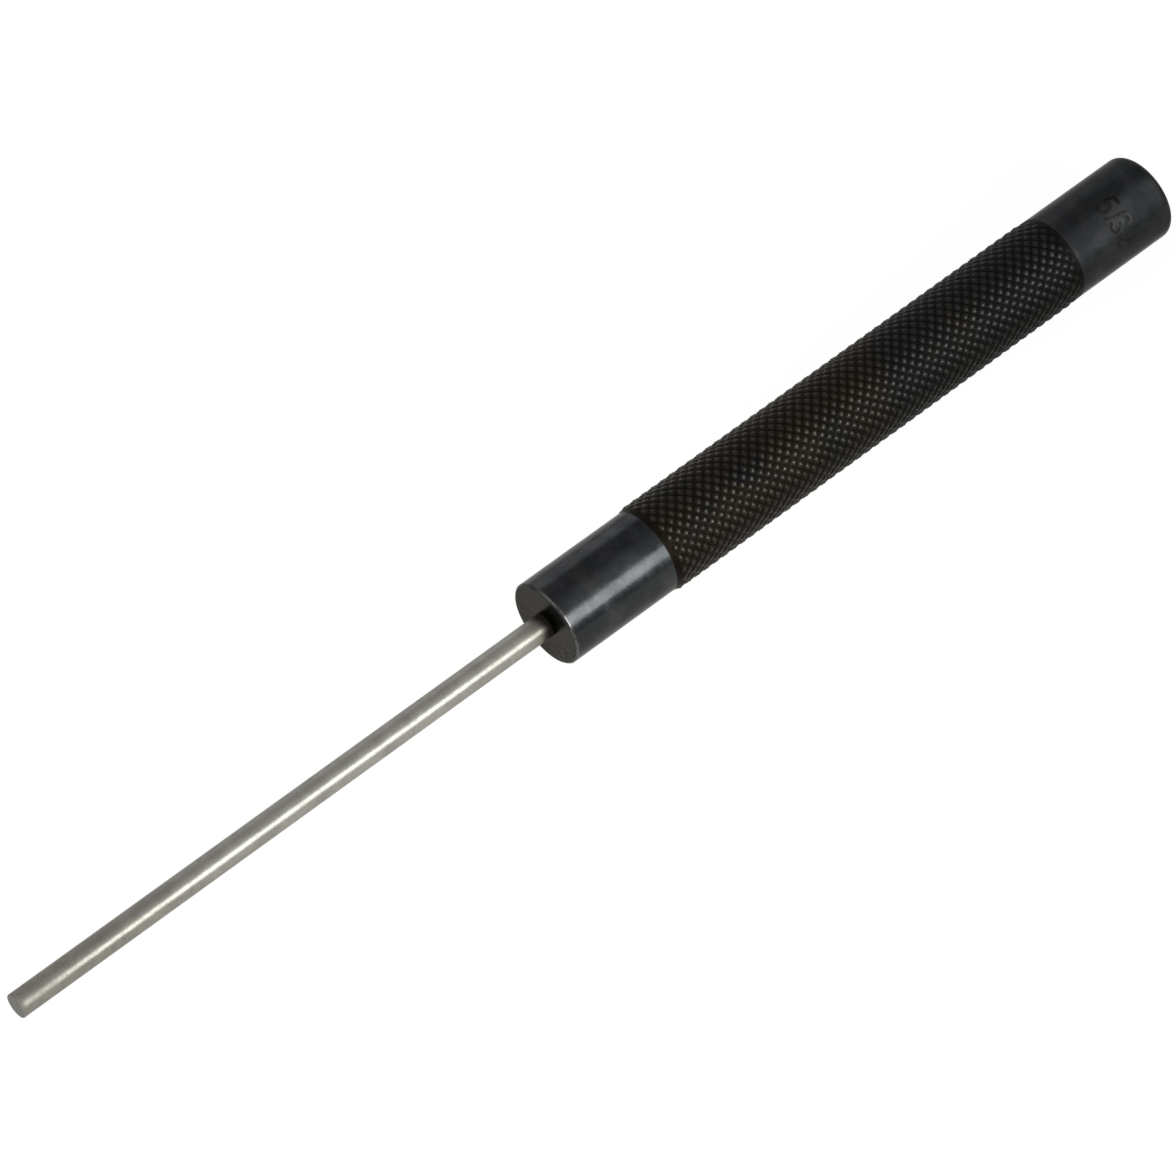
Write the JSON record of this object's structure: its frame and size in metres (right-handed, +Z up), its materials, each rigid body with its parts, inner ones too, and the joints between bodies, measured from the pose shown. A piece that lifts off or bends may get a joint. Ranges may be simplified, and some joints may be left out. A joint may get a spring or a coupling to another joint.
{
  "type": "pin punch",
  "caption": "Long pin punch: a blackened steel handle with a diamond-knurled grip between smooth collars, and a ground steel drive pin pressed into its front face.",
  "frame": {"origin": "on the surface that the punch lies on, under the middle of its overall length", "axes": "+X along the punch's axis from the pin's tip to the struck head, +Z up, +Y to the left when looking along +X"},
  "size_m": [0.2224, 0.0148, 0.0147],
  "materials": {
    "blackened_steel": "black oxide, satin on the collars, dark and slightly browned in the knurl",
    "ground_steel": "bare ground steel with fine grinding marks"
  },
  "bodies": {
    "root": {"handle": "blackened_steel", "drive_pin": "ground_steel"}
  },
  "joints": []
}
